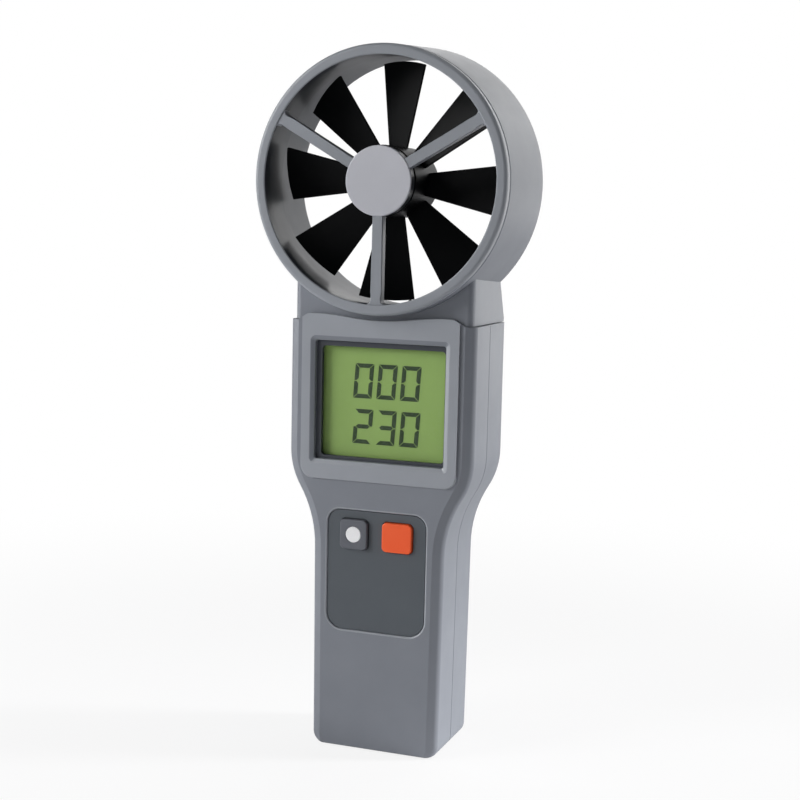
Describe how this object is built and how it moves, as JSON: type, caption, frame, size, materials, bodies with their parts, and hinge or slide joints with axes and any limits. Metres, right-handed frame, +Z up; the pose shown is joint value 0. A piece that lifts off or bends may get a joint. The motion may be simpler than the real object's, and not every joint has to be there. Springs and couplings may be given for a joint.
{
  "type": "handheld weather meter",
  "caption": "Handheld vane weather meter: a round caged impeller head above a flared grey two-shell body with a display, a keypad panel and a battery door.",
  "frame": {"origin": "on the floor under the middle of the overall box, the meter standing on its base", "axes": "+Z up along the handle to the vane ring, +Y from the display towards the back, +X to the right seen from the front"},
  "size_m": [0.1032, 0.044, 0.269],
  "materials": {
    "case_grey": "fine-textured moulded plastic",
    "ring_grey": "fine-textured moulded plastic",
    "guard_grey": "fine-textured moulded plastic",
    "blade_black": "smooth black plastic",
    "panel_dark": "matt dark grey keypad sheet",
    "key_dark": "matt dark grey key",
    "key_orange": "matt orange key",
    "dot_white": "white inlay",
    "bezel_dark": "satin dark grey",
    "window_clear": "clear window",
    "lcd_green": "yellow-green reflective display",
    "segment_dark": "dark green printed segments",
    "diffuser_white": "milky light guide",
    "strip_pink": "conductive rubber strip",
    "board_green": "solder resist",
    "part_black": "moulded black",
    "ivory": "ivory plastic",
    "steel": "bright steel",
    "cell_blue": "printed label sleeve",
    "bead_green": "epoxy bead",
    "lead_red": "insulated wire",
    "foam": "foam",
    "brass": "turned brass"
  },
  "bodies": {
    "meter_body": {"vane_shroud": "ring_grey", "guard_spider": "guard_grey", "pickup_board": "board_green", "hall_sensor": "part_black", "pickup_lead": "ivory", "front_bearing": "steel", "rear_bearing": "steel", "thermistor": "bead_green", "thermistor_lead": "ivory", "head_screws": "steel", "front_case": "case_grey", "rear_case": "case_grey", "lcd_bezel": "bezel_dark", "lcd_window": "window_clear", "lcd_segments": "segment_dark", "lcd_glass": "lcd_green", "backlight_panel": "diffuser_white", "contact_strips": "strip_pink", "main_board": "board_green", "controller_chip": "part_black", "buzzer": "part_black", "lead_connector": "ivory", "switch_housings": "part_black", "board_screws": "steel", "key_panel": "panel_dark", "case_screws": "steel", "battery_cells": "cell_blue", "contact_springs": "steel", "contact_plates": "steel", "battery_leads": "lead_red", "tripod_bush": "brass"},
    "impeller": {"impeller": "blade_black", "impeller_shaft": "steel", "shaft_clip": "steel", "hub_magnets": "steel"},
    "mode_key": {"mode_key": "key_dark", "mode_key_dot": "dot_white", "mode_plunger": "ivory"},
    "power_key": {"power_key": "key_orange", "power_plunger": "ivory"},
    "battery_door": {"battery_door": "case_grey", "door_pad": "foam"}
  },
  "joints": [
    {"name": "impeller_spin", "type": "hinge", "parent": "meter_body", "child": "impeller", "pos_m": [0, -0.005, 0.2174], "axis": [0, 1, 0], "continuous": true},
    {"name": "mode_key_press", "type": "slide", "parent": "meter_body", "child": "mode_key", "axis": [0, 1, 0], "range_m": [0, 0.0008], "stiffness_N_per_m": 1200, "springref_m": -0.0002},
    {"name": "power_key_press", "type": "slide", "parent": "meter_body", "child": "power_key", "axis": [0, 1, 0], "range_m": [0, 0.0008], "stiffness_N_per_m": 1200, "springref_m": -0.0002},
    {"name": "battery_door_swing", "type": "hinge", "parent": "meter_body", "child": "battery_door", "pos_m": [0, 0.0206, 0.007], "axis": [-1, 0, 0], "range_deg": [0, 85]}
  ]
}
